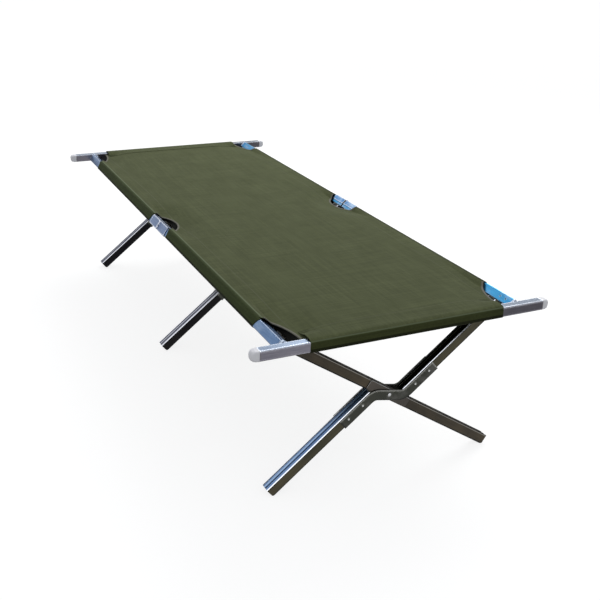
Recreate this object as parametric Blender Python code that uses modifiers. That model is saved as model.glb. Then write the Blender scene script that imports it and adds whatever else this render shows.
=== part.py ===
"""Folding camp bed: hinged side rails, three crossed leg pairs and a taut fabric bed.

Metres, Z up, floor at Z = 0. X runs along the bed, Y across it.
Side a is the left rail (-Y) with the straight legs, side b is the right rail (+Y)
with the two-piece legs. The near half is +X, the far half is -X.
"""
import math

import bmesh
import bpy
from mathutils import Matrix, Vector

# Overall sizes
BED_LENGTH = 1.900
BAR_TOP_Z = 0.450
BAR_HALF_LENGTH = 0.390

# Clearances
FIT_GAP = 0.0003
CLOTH_GAP = 0.0005
# Small step that keeps the faces of two joined solids off one plane
JOIN_STEP = 0.0001

# Leg geometry: every arm reaches the same distance from the scissor pivot
PIVOT_Z = 0.2215
LEG_REACH = 0.385
LEG_OFFSET = 0.035
LEG_FACE = 0.028
LEG_DEPTH = 0.031
LEG_WALL = 0.0018
LEG_CORNER = 0.0012
GROOVE_DEPTH = 0.0015
GROOVE_EDGE = 0.0032
GROOVE_RIB = 0.0030
LEG_CROSS_GAP = 0.0032
FOOT_FLAT_DROP = 0.0032

# Leg pairs: distance from the rail end, and from the middle of the bed
END_PAIR_INSET = 0.0625
MID_PAIR_CLEARANCE = 0.002

# Side rails
RAIL = 0.026
RAIL_WALL = 0.0015
RAIL_CORNER = 0.002
RAIL_BORE_CORNER = 0.0008
RAIL_BELOW_BAR_TOP = 0.016
RAIL_START_X = 0.004
RAIL_HOLE_RADIUS = 0.0024
RAIL_HOLE_INSETS = (0.046, 0.024)

# End bars and their caps
BAR_DEPTH = 0.025
BAR_HEIGHT = 0.026
BAR_WALL = 0.0015
BAR_CORNER = 0.0025
CAP_LENGTH = 0.020
CAP_PLUG_LENGTH = 0.012
BAR_BORE_CORNER = 0.001
# Each row: narrowing, corner radius, share of the cap length
CAP_PROFILE = (
    (0.0, 0.0028, 0.0),
    (0.0, 0.004, 0.45),
    (0.002, 0.006, 0.75),
    (0.007, 0.007, 0.93),
    (0.013, 0.005, 1.0),
)

# Rail end fittings
FLANGE_THICK = 0.0065
TAB_CLEARANCE = 0.001
FLANGE_MARGIN = 0.0005
FLANGE_CORNER = 0.003
FLANGE_EDGE = 0.0008
FLANGE_ROOT = 0.002
PLUG_CORNER = 0.001
PLUG_LENGTH = 0.022
STUD_RADIUS = 0.005
STUD_REACH = 0.013

# Leg pivot: plates, offset brackets and rivets
PLATE_THICK = 0.0019
PLATE_HALF_LENGTH = 0.072
PLATE_MARGIN = 0.0005
PLATE_CORNER = 0.005
PIN_RADIUS = 0.003
PIN_CLEARANCE = 0.0003
HEAD_RADIUS = 0.0044
HEAD_HEIGHT = 0.0018
BRACKET_THICK = 0.003
BRACKET_EDGE = 0.0009
BRACKET_HALF_LENGTH = 0.140
BRACKET_BEND_ANGLE = math.radians(50.0)
BRACKET_BEND_RADIUS = 0.034
BRACKET_TOP_INSET = 0.001
BRACKET_FLANGE = 0.0015
BRACKET_FLANGE_DEPTH = 0.009
BRACKET_FLANGE_FROM_LEG = 0.012
BRACKET_FLANGE_FROM_BEND = 0.002
BRACKET_FLANGE_END_INSET = 0.001
BRACKET_FLANGE_CORNER = 0.0003
BRACKET_RIVETS = (0.069, 0.118)
RIVET_RADIUS = 0.0036
RIVET_HEIGHT = 0.0015

# Saddles that hold the leg tops under the rails
SADDLE_THICK = 0.002
SADDLE_CHEEK = 0.0015
SADDLE_CHEEK_LENGTH = 0.034
SADDLE_WIDTH = 0.022
SADDLE_BASE_LENGTH = 0.048
SADDLE_BASE_MARGIN = 0.001
SADDLE_BASE_CORNER = 0.004
SADDLE_HEAD_INSET = 0.012
SADDLE_HEAD_HEIGHT = 0.0013

# Middle hinges
LEAF_THICK = 0.002
LEAF_END_X = 0.072
LEAF_CHEEK = 0.018
HINGE_AXIS_GAP = 0.0005
KNUCKLE_RADIUS = 0.0032
HINGE_PIN_RADIUS = 0.0015
HINGE_HEAD_RADIUS = 0.0028
HINGE_HEAD_HEIGHT = 0.0012
KNUCKLE_GAP = 0.0004
KNUCKLE_MID = 0.0090
KNUCKLE_INSET = 0.0005
LEAF_BEND = 0.0012

# Fabric
CLOTH = 0.0010
CLOTH_TOP_STEP = 0.0004
# Width of fabric that wraps each rail and end bar, up to the stitching
SIDE_SLEEVE_WIDTH = 0.047
END_SLEEVE_WIDTH = 0.065
SIDE_SLEEVE_INSET = 0.110
END_SLEEVE_INSET = 0.124
PANEL_OVER_RAIL = 0.003
PANEL_END_INSET = 0.002
PANEL_CORNER = 0.002
# Cut-outs: centre outside the rail, half length along the bed, reach into it
CUT_CENTER_OUT = 0.023
CORNER_CUT_INSET = 0.010
CORNER_CUT_LENGTH = 0.160
MID_CUT_PAST_LEAF = 0.018
CUT_REACH = 0.077
# The underside of a sleeve is cut less deeply than its top
UNDER_CUT_REACH = 0.045
CUT_BELOW_TOP = 0.060
CUT_ABOVE_TOP = 0.030
# Slots under the side sleeves that let the saddles through
SLOT_PAST_SADDLE = 0.006
SLOT_PAST_STITCH = 0.010
SLOT_IN_FROM_RAIL = 0.004
SLOT_CORNER = 0.006
SLOT_UNDER_PANEL = 0.0008

# Outlines are drawn in millimetres so that their fine points stay apart
DRAWING_SCALE = 1000.0
ROUND_SEGMENTS = 20
SMALL_SEGMENTS = 12
SMOOTH_ANGLE = math.radians(35.0)

# Derived frame geometry
# When the bed is closed the rails lie side by side, so each tab stops short of the middle
FLANGE_TAB = LEG_OFFSET / 2.0 - TAB_CLEARANCE - (RAIL / 2.0 - FLANGE_MARGIN)
RAIL_Z = BAR_TOP_Z - RAIL_BELOW_BAR_TOP
RISE = RAIL_Z - PIVOT_Z
RUN_A = math.sqrt(LEG_REACH ** 2 - RISE ** 2)
RUN_B = math.sqrt(LEG_REACH ** 2 + LEG_OFFSET ** 2 - RISE ** 2)
PIVOT_Y = (RUN_A - RUN_B) / 2.0
ANGLE_A = math.asin(RISE / LEG_REACH)
ANGLE_B = math.asin(RISE / math.hypot(LEG_REACH, LEG_OFFSET)) + math.atan2(LEG_OFFSET, LEG_REACH)
CROSSING = math.pi - ANGLE_A - ANGLE_B
# Leg b stops where its corner would come within the gap of the straight leg
LEG_B_CORNER = abs(math.cos(CROSSING)) * (LEG_OFFSET + LEG_FACE / 2.0)
LEG_B_START = (LEG_FACE / 2.0 + LEG_CROSS_GAP + LEG_B_CORNER) / math.sin(CROSSING)
# The bracket's straight parts start past its bends; its flanges also keep clear of the straight leg
BRACKET_CORNER_X = LEG_OFFSET / math.tan(BRACKET_BEND_ANGLE)
BRACKET_TANGENT = BRACKET_BEND_RADIUS * math.tan(BRACKET_BEND_ANGLE / 2.0)
BRACKET_FLANGE_START = max(
    LEG_B_START + BRACKET_FLANGE_FROM_LEG,
    BRACKET_CORNER_X + BRACKET_TANGENT + BRACKET_FLANGE_FROM_BEND,
)
HALF = BED_LENGTH / 2.0
RAIL_Y = (RUN_A + RUN_B) / 2.0
RAIL_END_X = HALF - BAR_DEPTH - FLANGE_THICK - 2.0 * FIT_GAP
END_PAIR_X = RAIL_END_X - END_PAIR_INSET
MID_PAIR_X = -(RAIL_START_X + MID_PAIR_CLEARANCE + SADDLE_BASE_LENGTH / 2.0)
BAR_X = HALF - BAR_DEPTH / 2.0
BAR_Z = BAR_TOP_Z - BAR_HEIGHT / 2.0
PLATE_OUT = LEG_DEPTH / 2.0 - FIT_GAP
LEG_A_DEPTH = 2.0 * (PLATE_OUT - PLATE_THICK - FIT_GAP)
HINGE_AXIS = RAIL / 2.0 + FIT_GAP + LEAF_THICK + HINGE_AXIS_GAP
LEG_TOP = LEG_REACH - RAIL / 2.0 - 2.0 * FIT_GAP - SADDLE_THICK
PANEL_LOW = RAIL_Z + RAIL / 2.0 * math.sqrt(2.0) + CLOTH_GAP
SIDE_STITCH_Y = RAIL_Y - SIDE_SLEEVE_WIDTH
END_STITCH_X = HALF - END_SLEEVE_WIDTH

X_AXIS = Vector((1.0, 0.0, 0.0))
Y_AXIS = Vector((0.0, 1.0, 0.0))
Z_AXIS = Vector((0.0, 0.0, 1.0))
PIVOT = Vector((0.0, PIVOT_Y, PIVOT_Z))


class Side:
    """Directions of one rail and its legs: out along the legs, up across them."""

    def __init__(self, tag, hand, angle, offset):
        self.tag = tag
        self.angle = angle
        self.along = X_AXIS * -hand
        self.out = Vector((0.0, hand * math.cos(angle), math.sin(angle)))
        self.up = Vector((0.0, -hand * math.sin(angle), math.cos(angle)))
        self.center = PIVOT + self.out * LEG_REACH - self.up * offset


SIDE_A = Side("a", -1.0, ANGLE_A, 0.0)
SIDE_B = Side("b", 1.0, ANGLE_B, LEG_OFFSET)


def clear_scene():
    for item in list(bpy.data.objects):
        bpy.data.objects.remove(item, do_unlink=True)


def make_material(name, color, metallic, roughness):
    material = bpy.data.materials.new(name)
    material.use_nodes = True
    shader = material.node_tree.nodes["Principled BSDF"]
    shader.inputs["Base Color"].default_value = (*color, 1.0)
    shader.inputs["Metallic"].default_value = metallic
    shader.inputs["Roughness"].default_value = roughness
    material.diffuse_color = (*color, 1.0)
    return material


def aluminium(name):
    return make_material(name + "_material", (0.56, 0.58, 0.63), 1.0, 0.35)


def leg_metal(name):
    return make_material(name + "_material", (0.17, 0.15, 0.11), 0.8, 0.42)


def bracket_metal(name):
    return make_material(name + "_material", (0.075, 0.078, 0.062), 0.7, 0.45)


def white_plastic(name):
    return make_material(name + "_material", (0.80, 0.80, 0.80), 0.0, 0.5)


def olive_fabric(name):
    return make_material(name + "_material", (0.095, 0.100, 0.055), 0.0, 0.9)


def frame(origin, first, second):
    """Right-handed placement: local x and y go to the two given directions."""
    rows = Matrix((first, second, first.cross(second))).transposed().to_4x4()
    return Matrix.Translation(origin) @ rows


def rounded_rect(width, height, radius, segments=2):
    points = []
    corners = ((1, 1, 0.0), (-1, 1, 90.0), (-1, -1, 180.0), (1, -1, 270.0))
    for sign_x, sign_y, start in corners:
        center = Vector((sign_x * (width / 2.0 - radius), sign_y * (height / 2.0 - radius)))
        for step in range(segments + 1):
            turn = math.radians(start + 90.0 * step / segments)
            points.append(center + Vector((math.cos(turn), math.sin(turn))) * radius)
    return points


def ellipse(center_x, center_y, radius_x, radius_y, segments=48):
    points = []
    for step in range(segments):
        turn = 2.0 * math.pi * (step + 0.5) / segments
        points.append(Vector((center_x + radius_x * math.cos(turn), center_y + radius_y * math.sin(turn))))
    return points


def turn_of(a, b, c):
    return (b[0] - a[0]) * (c[1] - a[1]) - (b[1] - a[1]) * (c[0] - a[0])


def convex_hull(points):
    ordered = sorted((round(p[0], 7), round(p[1], 7)) for p in points)
    chains = []
    for source in (ordered, ordered[::-1]):
        chain = []
        for point in source:
            while len(chain) > 1 and turn_of(chain[-2], chain[-1], point) <= 0.0:
                chain.pop()
            chain.append(point)
        chains.append(chain[:-1])
    return [Vector(p) for p in chains[0] + chains[1]]


def outline_mesh(name, loops, low, high, edge=0.0):
    """Flat outline made thick between two local heights. Inner loops are holes."""
    curve = bpy.data.curves.new(name, "CURVE")
    curve.dimensions = "2D"
    curve.fill_mode = "BOTH"
    curve.extrude = ((high - low) / 2.0 - edge) * DRAWING_SCALE
    curve.bevel_depth = edge * DRAWING_SCALE
    curve.bevel_resolution = 0
    curve.offset = -edge * DRAWING_SCALE
    for loop in loops:
        spline = curve.splines.new("POLY")
        spline.points.add(len(loop) - 1)
        for point, place in zip(spline.points, loop):
            point.co = (place[0] * DRAWING_SCALE, place[1] * DRAWING_SCALE, 0.0, 1.0)
        spline.use_cyclic_u = True
    draft = bpy.data.objects.new(name + "_outline", curve)
    DRAFTS.objects.link(draft)
    graph = bpy.context.evaluated_depsgraph_get()
    data = bpy.data.meshes.new_from_object(draft.evaluated_get(graph))
    bpy.data.objects.remove(draft, do_unlink=True)
    to_metres = Matrix.Diagonal((1.0 / DRAWING_SCALE, 1.0 / DRAWING_SCALE, 1.0 / DRAWING_SCALE, 1.0))
    data.transform(Matrix.Translation(Vector((0.0, 0.0, (low + high) / 2.0))) @ to_metres)
    weld(data)
    return data


def weld(data):
    mesh = bmesh.new()
    mesh.from_mesh(data)
    bmesh.ops.remove_doubles(mesh, verts=mesh.verts, dist=0.00001)
    bmesh.ops.recalc_face_normals(mesh, faces=mesh.faces)
    mesh.to_mesh(data)
    mesh.free()


def outline_part(name, loops, low, high, matrix, material, empty, edge=0.0):
    return add_part(name, outline_mesh(name, loops, low, high, edge), matrix, material, empty)


def add_part(name, data, matrix, material, empty):
    """Make the object for one node and hang it on its joint's empty."""
    item = bpy.data.objects.new(name, data)
    item.matrix_world = matrix
    data.materials.clear()
    data.materials.append(material)
    shade_round(data)
    PARTS.objects.link(item)
    hang_on(item, empty)
    return item


def shade_round(data):
    """Smooth shading on curved faces, with the real edges kept sharp."""
    data.shade_smooth()
    data.set_sharp_from_angle(angle=SMOOTH_ANGLE)


def add_cutter(name, data, matrix):
    """Helper solid for a Boolean modifier."""
    item = bpy.data.objects.new(name, data)
    item.matrix_world = matrix
    shade_round(data)
    item.hide_render = True
    item.display_type = "WIRE"
    CUTTERS.objects.link(item)
    return item


def joined_mesh(name, pieces):
    """One mesh from several placed meshes."""
    mesh = bmesh.new()
    for data, matrix in pieces:
        data.transform(matrix)
        mesh.from_mesh(data)
    result = bpy.data.meshes.new(name)
    mesh.to_mesh(result)
    mesh.free()
    return result


def rod_mesh(name, radius, length, segments):
    """Plain cylinder along local z, centred on the origin."""
    mesh = bmesh.new()
    radii = {"radius1": radius, "radius2": radius}
    bmesh.ops.create_cone(mesh, cap_ends=True, segments=segments, depth=length, **radii)
    data = bpy.data.meshes.new(name)
    mesh.to_mesh(data)
    mesh.free()
    return data


def dome_mesh(name, radius, height):
    """Flattened ball whose upper half is a low rivet head."""
    mesh = bmesh.new()
    bmesh.ops.create_uvsphere(mesh, u_segments=SMALL_SEGMENTS, v_segments=4, radius=1.0)
    bmesh.ops.scale(mesh, verts=mesh.verts, vec=(radius, radius, height))
    data = bpy.data.meshes.new(name)
    mesh.to_mesh(data)
    mesh.free()
    return data


def turned_part(name, profile, matrix, material, empty, segments):
    """Turned piece: profile of (radius, height) pairs from the top down, both ends on the axis."""
    mesh = bmesh.new()
    points = [mesh.verts.new((radius, 0.0, height)) for radius, height in profile]
    for first, second in zip(points, points[1:]):
        mesh.edges.new((first, second))
    data = bpy.data.meshes.new(name)
    mesh.to_mesh(data)
    mesh.free()
    item = add_part(name, data, matrix, material, empty)
    screw = item.modifiers.new("turn", "SCREW")
    screw.axis = "Z"
    screw.angle = 2.0 * math.pi
    screw.steps = segments
    screw.render_steps = segments
    screw.use_merge_vertices = True
    screw.merge_threshold = 0.00001
    return item


def loft_mesh(name, sections):
    """Join a row of outlines with equal point counts and close both ends."""
    mesh = bmesh.new()
    rings = []
    for outline, height in sections:
        rings.append([mesh.verts.new((p[0], p[1], height)) for p in outline])
    count = len(rings[0])
    for lower, upper in zip(rings, rings[1:]):
        for index in range(count):
            after = (index + 1) % count
            mesh.faces.new((lower[index], lower[after], upper[after], upper[index]))
    mesh.faces.new(rings[0][::-1])
    mesh.faces.new(rings[-1])
    bmesh.ops.recalc_face_normals(mesh, faces=mesh.faces)
    data = bpy.data.meshes.new(name)
    mesh.to_mesh(data)
    mesh.free()
    return data


def boolean(target, tool, operation):
    modifier = target.modifiers.new(tool.name, "BOOLEAN")
    modifier.operation = operation
    modifier.solver = "EXACT"
    modifier.object = tool


def span(low, high, sign):
    """Range between two distances, counted against the local axis when the sign is negative."""
    return sorted((low * sign, high * sign))


def leg_outline(depth):
    """Leg section with two shallow grooves in each narrow face. x is the depth, y the face."""
    half_x = depth / 2.0
    half_y = LEG_FACE / 2.0
    low = half_y - GROOVE_DEPTH
    quarter = [
        (half_x, half_y - LEG_CORNER),
        (half_x - LEG_CORNER, half_y),
        (half_x - GROOVE_EDGE, half_y),
        (half_x - GROOVE_EDGE, low),
        (GROOVE_RIB / 2.0, low),
        (GROOVE_RIB / 2.0, half_y),
    ]
    outline = quarter
    outline = outline + [(-x, y) for x, y in reversed(quarter)]
    outline = outline + [(-x, -y) for x, y in quarter]
    outline = outline + [(x, -y) for x, y in reversed(quarter)]
    return [Vector(p) for p in outline]


def leg_bore(depth):
    width = depth - 2.0 * LEG_WALL
    height = LEG_FACE - 2.0 * (GROOVE_DEPTH + LEG_WALL)
    return rounded_rect(width, height, LEG_CORNER, 1)


def at_pair(pair_x, point):
    return Vector((pair_x, point.y, point.z))


def foot_distance(angle, offset):
    """Distance from the pivot to the lowest edge of a leg, before its flat is cut."""
    edge_height = PIVOT_Z + (offset - LEG_FACE / 2.0) * math.cos(angle)
    return (edge_height + FOOT_FLAT_DROP) / math.sin(angle)


def make_floor_cutter():
    mesh = bmesh.new()
    size = Matrix.Diagonal((BED_LENGTH, 3.0 * LEG_REACH, LEG_FACE, 1.0))
    place = Matrix.Translation(Vector((0.0, 0.0, -LEG_FACE / 2.0)))
    bmesh.ops.create_cube(mesh, size=1.0, matrix=place @ size)
    data = bpy.data.meshes.new("floor_cutter")
    mesh.to_mesh(data)
    mesh.free()
    return add_cutter("floor_cutter", data, Matrix.Identity(4))


def make_leg(name, pair_x, side, depth, offset, low, high, cutters, empty):
    """Leg with local y up across it and local z out along it."""
    matrix = frame(at_pair(pair_x, PIVOT + side.up * offset), side.along, side.up)
    loops = [leg_outline(depth), leg_bore(depth)]
    leg = outline_part(name, loops, low, high, matrix, leg_metal(name), empty)
    for cutter in cutters:
        boolean(leg, cutter, "DIFFERENCE")
    return leg


def cross_drill(name, pair_x, radius):
    """Cutter along the bed axis through a leg pivot."""
    data = rod_mesh(name, radius, 2.0 * LEG_DEPTH, ROUND_SEGMENTS)
    return add_cutter(name, data, frame(at_pair(pair_x, PIVOT), Y_AXIS, Z_AXIS))


def make_pivot_plate(name, pair_x, facing, drill, empty):
    """Flat reinforcing plate between the straight leg and an offset bracket."""
    matrix = frame(at_pair(pair_x, PIVOT), SIDE_A.out, -SIDE_A.up)
    outline = rounded_rect(2.0 * PLATE_HALF_LENGTH, LEG_FACE - 2.0 * PLATE_MARGIN, PLATE_CORNER, 3)
    inner = LEG_A_DEPTH / 2.0 + FIT_GAP
    low, high = span(inner, inner + PLATE_THICK, facing)
    plate = outline_part(name, [outline], low, high, matrix, bracket_metal(name), empty)
    boolean(plate, drill, "DIFFERENCE")
    return plate


def bracket_path():
    """Centre line of the offset bracket: x along leg b, y up across it."""
    path = [(Vector((-BRACKET_HALF_LENGTH, LEG_OFFSET)), 0.0)]
    center = Vector((-BRACKET_CORNER_X - BRACKET_TANGENT, LEG_OFFSET - BRACKET_BEND_RADIUS))
    steps = 9
    for step in range(steps + 1):
        turn = BRACKET_BEND_ANGLE * step / steps
        point = center + Vector((math.sin(turn), math.cos(turn))) * BRACKET_BEND_RADIUS
        path.append((point, -turn))
    return path + [(-point, turn) for point, turn in reversed(path)]


def bracket_outline():
    """The top edge stays inside the leg's face; the bottom edge covers the flange under the leg."""
    above = LEG_FACE / 2.0 - BRACKET_TOP_INSET
    below = LEG_FACE / 2.0 + FIT_GAP + BRACKET_FLANGE
    upper = []
    lower = []
    for point, turn in bracket_path():
        across = Vector((-math.sin(turn), math.cos(turn)))
        upper.append(point + across * above)
        lower.append(point - across * below)
    return lower + upper[::-1]


def make_offset_bracket(name, pair_x, facing, drill, empty):
    """Pressed bracket that joins the two parts of leg b round the straight leg."""
    matrix = frame(at_pair(pair_x, PIVOT), SIDE_B.out, SIDE_B.up)
    inner = LEG_DEPTH / 2.0 + FIT_GAP
    low, high = span(inner, inner + BRACKET_THICK, facing)
    loops = [bracket_outline()]
    bracket = outline_part(name, loops, low, high, matrix, bracket_metal(name), empty, BRACKET_EDGE)
    flanges = joined_mesh(name + "_flanges", bracket_flanges(facing))
    boolean(bracket, add_cutter(name + "_flanges", flanges, matrix), "UNION")
    heads = joined_mesh(name + "_rivet_heads", bracket_rivets(facing))
    boolean(bracket, add_cutter(name + "_rivet_heads", heads, matrix), "UNION")
    boolean(bracket, drill, "DIFFERENCE")
    return bracket


def bracket_flanges(facing):
    """Flanges under the legs that carry the straight parts of the bracket."""
    half = LEG_FACE / 2.0 + FIT_GAP + BRACKET_FLANGE / 2.0
    middle = (BRACKET_FLANGE_START + BRACKET_HALF_LENGTH) / 2.0
    length = BRACKET_HALF_LENGTH - BRACKET_FLANGE_START
    face = LEG_DEPTH / 2.0 + FIT_GAP
    low, high = span(face - BRACKET_FLANGE_DEPTH, face + BRACKET_THICK / 2.0, facing)
    size = (length - 2.0 * BRACKET_FLANGE_END_INSET, BRACKET_FLANGE - JOIN_STEP)
    outline = rounded_rect(*size, BRACKET_FLANGE_CORNER, 1)
    pieces = []
    for sign in (-1.0, 1.0):
        place = Vector((sign * middle, -sign * LEG_OFFSET - half, 0.0))
        data = outline_mesh("flange", [outline], low, high)
        pieces.append((data, Matrix.Translation(place)))
    return pieces


def bracket_rivets(facing):
    level = facing * (LEG_DEPTH / 2.0 + FIT_GAP + BRACKET_THICK)
    pieces = []
    for distance in BRACKET_RIVETS:
        for sign in (-1.0, 1.0):
            place = Vector((sign * distance, -sign * LEG_OFFSET, level))
            pieces.append((dome_mesh("rivet", RIVET_RADIUS, RIVET_HEIGHT), Matrix.Translation(place)))
    return pieces


def make_pivot_rivet(name, pair_x):
    """Scissor pivot: a shank through both brackets with a low head on each side."""
    under = LEG_DEPTH / 2.0 + 2.0 * FIT_GAP + BRACKET_THICK
    half = [
        (0.0, under + HEAD_HEIGHT),
        (HEAD_RADIUS * 0.72, under + HEAD_HEIGHT * 0.82),
        (HEAD_RADIUS, under + HEAD_HEIGHT * 0.35),
        (HEAD_RADIUS, under),
        (PIN_RADIUS, under),
    ]
    profile = half + [(radius, -height) for radius, height in reversed(half)]
    matrix = frame(at_pair(pair_x, PIVOT), Y_AXIS, Z_AXIS)
    return turned_part(name, profile, matrix, aluminium(name), None, ROUND_SEGMENTS)


def make_saddle(name, pair_x, side, empty):
    """U bracket under a rail: a base on the rail and two cheeks beside the leg top."""
    outer = LEG_FACE / 2.0 + FIT_GAP + SADDLE_CHEEK
    inner = LEG_FACE / 2.0 + FIT_GAP
    top = -RAIL / 2.0 - FIT_GAP
    base = top - SADDLE_THICK
    end = base - SADDLE_CHEEK_LENGTH
    outline = [
        (-outer, top),
        (-outer, end),
        (-inner, end),
        (-inner, base),
        (inner, base),
        (inner, end),
        (outer, end),
        (outer, top),
    ]
    center = at_pair(pair_x, side.center)
    across = frame(center, side.up, side.out)
    half = SADDLE_WIDTH / 2.0
    saddle = outline_part(name, [outline], -half, half, across, bracket_metal(name), empty)
    plate = rounded_rect(SADDLE_BASE_LENGTH, RAIL - 2.0 * SADDLE_BASE_MARGIN, SADDLE_BASE_CORNER, 2)
    seat = outline_mesh("base", [plate], base + 2.0 * JOIN_STEP, top - JOIN_STEP)
    pieces = [(seat, Matrix.Identity(4))]
    for sign in (-1.0, 1.0):
        place = Matrix.Translation(Vector((0.0, sign * outer, end + SADDLE_HEAD_INSET)))
        tilt = Matrix.Rotation(math.pi / 2.0, 4, "X")
        pieces.append((dome_mesh("head", RIVET_RADIUS, SADDLE_HEAD_HEIGHT), place @ tilt))
    tool = name + "_base"
    extra = add_cutter(tool, joined_mesh(tool, pieces), frame(center, side.along, side.up))
    boolean(saddle, extra, "UNION")
    return saddle


def make_leg_pair(tag, pair_x, floor_cutter, base, swing):
    """One crossed leg pair with its brackets, plates, pivot and saddles."""
    drill = cross_drill("drill_" + tag, pair_x, PIN_RADIUS + PIN_CLEARANCE)
    foot_a = foot_distance(SIDE_A.angle, 0.0)
    foot_b = foot_distance(SIDE_B.angle, LEG_OFFSET)
    both = (drill, floor_cutter)
    make_leg("leg_a_" + tag, pair_x, SIDE_A, LEG_A_DEPTH, 0.0, -foot_a, LEG_TOP, both, base)
    floor_only = (floor_cutter,)
    lower = (LEG_OFFSET, -foot_b, -LEG_B_START, floor_only)
    upper = (-LEG_OFFSET, LEG_B_START, LEG_TOP, ())
    make_leg("leg_b_lower_" + tag, pair_x, SIDE_B, LEG_DEPTH, *lower, swing)
    make_leg("leg_b_upper_" + tag, pair_x, SIDE_B, LEG_DEPTH, *upper, swing)
    for facing, word in ((1.0, "front"), (-1.0, "rear")):
        make_pivot_plate("pivot_plate_" + word + "_" + tag, pair_x, facing, drill, base)
        make_offset_bracket("offset_bracket_" + word + "_" + tag, pair_x, facing, drill, swing)
    rivet = make_pivot_rivet("pivot_rivet_" + tag, pair_x)
    hang_on(rivet, base)
    make_saddle("saddle_a_" + tag, pair_x, SIDE_A, base)
    make_saddle("saddle_b_" + tag, pair_x, SIDE_B, swing)


def rail_frame(side):
    """Local x is out of the rail, local y up across it, local z along the bed or against it."""
    return frame(at_pair(0.0, side.center), side.out, side.up)


def along_span(side, end, low, high):
    """Local z range of a rail frame for two distances from the middle towards one end."""
    return span(low, high, -end * side.along.x)


def make_rail_half(name, side, end, empty):
    low, high = along_span(side, end, RAIL_START_X, RAIL_END_X)
    outer = rounded_rect(RAIL, RAIL, RAIL_CORNER, 2)
    inner = rounded_rect(RAIL - 2.0 * RAIL_WALL, RAIL - 2.0 * RAIL_WALL, RAIL_BORE_CORNER, 1)
    rail = outline_part(name, [outer, inner], low, high, rail_frame(side), aluminium(name), empty)
    pieces = []
    for inset in RAIL_HOLE_INSETS:
        top = side.center + side.up * RAIL / 2.0
        place = frame(at_pair(end * (RAIL_END_X - inset), top), X_AXIS, side.out)
        pieces.append((rod_mesh("hole", RAIL_HOLE_RADIUS, RAIL * 0.8, SMALL_SEGMENTS), place))
    holes = add_cutter(name + "_holes", joined_mesh(name + "_holes", pieces), Matrix.Identity(4))
    boolean(rail, holes, "DIFFERENCE")
    return rail


def make_end_fitting(name, side, end, stud_length, empty):
    """Plug in the rail end with a tabbed flange and the stud that carries the end bar."""
    flange_low = RAIL_END_X + FIT_GAP
    flange_high = flange_low + FLANGE_THICK
    matrix = rail_frame(side)
    width = RAIL - 2.0 * FLANGE_MARGIN
    outline = rounded_rect(width, width + FLANGE_TAB, FLANGE_CORNER, 3)
    outline = [p + Vector((0.0, FLANGE_TAB / 2.0)) for p in outline]
    low, high = along_span(side, end, flange_low, flange_high)
    fitting = outline_part(name, [outline], low, high, matrix, aluminium(name), empty, FLANGE_EDGE)
    plug = RAIL - 2.0 * RAIL_WALL - 2.0 * FIT_GAP
    low, high = along_span(side, end, RAIL_END_X - PLUG_LENGTH, flange_low + FLANGE_ROOT)
    outline = rounded_rect(plug, plug, PLUG_CORNER, 1)
    pieces = [(outline_mesh("plug", [outline], low, high), Matrix.Identity(4))]
    if stud_length > 0.0:
        low, high = along_span(side, end, flange_low + FLANGE_ROOT + JOIN_STEP, flange_high + stud_length)
        rod = rod_mesh("stud", STUD_RADIUS, high - low, ROUND_SEGMENTS)
        pieces.append((rod, Matrix.Translation(Vector((0.0, 0.0, (low + high) / 2.0)))))
    extra = add_cutter(name + "_plug", joined_mesh(name + "_plug", pieces), matrix)
    boolean(fitting, extra, "UNION")
    return fitting


def make_end_bar(name, end, empty):
    matrix = frame(Vector((end * BAR_X, 0.0, BAR_Z)), X_AXIS, Z_AXIS)
    outer = rounded_rect(BAR_DEPTH, BAR_HEIGHT, BAR_CORNER, 3)
    inner = rounded_rect(BAR_DEPTH - 2.0 * BAR_WALL, BAR_HEIGHT - 2.0 * BAR_WALL, BAR_BORE_CORNER, 1)
    loops = [outer, inner]
    bar = outline_part(name, loops, -BAR_HALF_LENGTH, BAR_HALF_LENGTH, matrix, aluminium(name), empty)
    pieces = []
    for side in (SIDE_A, SIDE_B):
        place = frame(at_pair(end * (HALF - BAR_DEPTH), side.center), Y_AXIS, Z_AXIS)
        pieces.append((rod_mesh("hole", STUD_RADIUS + FIT_GAP, BAR_DEPTH, ROUND_SEGMENTS), place))
    holes = add_cutter(name + "_stud_holes", joined_mesh(name + "_stud_holes", pieces), Matrix.Identity(4))
    boolean(bar, holes, "DIFFERENCE")
    return bar


def make_end_cap(name, end, hand, empty):
    """Rounded plastic cap with a plug inside the end bar. Local z points out of the bar."""
    matrix = frame(Vector((end * BAR_X, hand * BAR_HALF_LENGTH, BAR_Z)), X_AXIS * -hand, Z_AXIS)
    plug_x = BAR_DEPTH - 2.0 * BAR_WALL - 2.0 * FIT_GAP
    plug_z = BAR_HEIGHT - 2.0 * BAR_WALL - 2.0 * FIT_GAP
    rows = [(plug_x, plug_z, PLUG_CORNER, -CAP_PLUG_LENGTH), (plug_x, plug_z, PLUG_CORNER, FIT_GAP)]
    for less, radius, share in CAP_PROFILE:
        level = FIT_GAP + (CAP_LENGTH - FIT_GAP) * share
        rows.append((BAR_DEPTH - less, BAR_HEIGHT - less, radius, level))
    sections = [(rounded_rect(width, height, radius, 3), level) for width, height, radius, level in rows]
    return add_part(name, loft_mesh(name, sections), matrix, white_plastic(name), empty)


def knuckle_spans(middle):
    """Ranges across the rail taken by the middle knuckle or by the two outer ones."""
    half = RAIL / 2.0 - KNUCKLE_INSET
    inner = KNUCKLE_MID / 2.0
    if middle:
        return [(-inner, inner)]
    return [(-half, -inner - KNUCKLE_GAP), (inner + KNUCKLE_GAP, half)]


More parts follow.
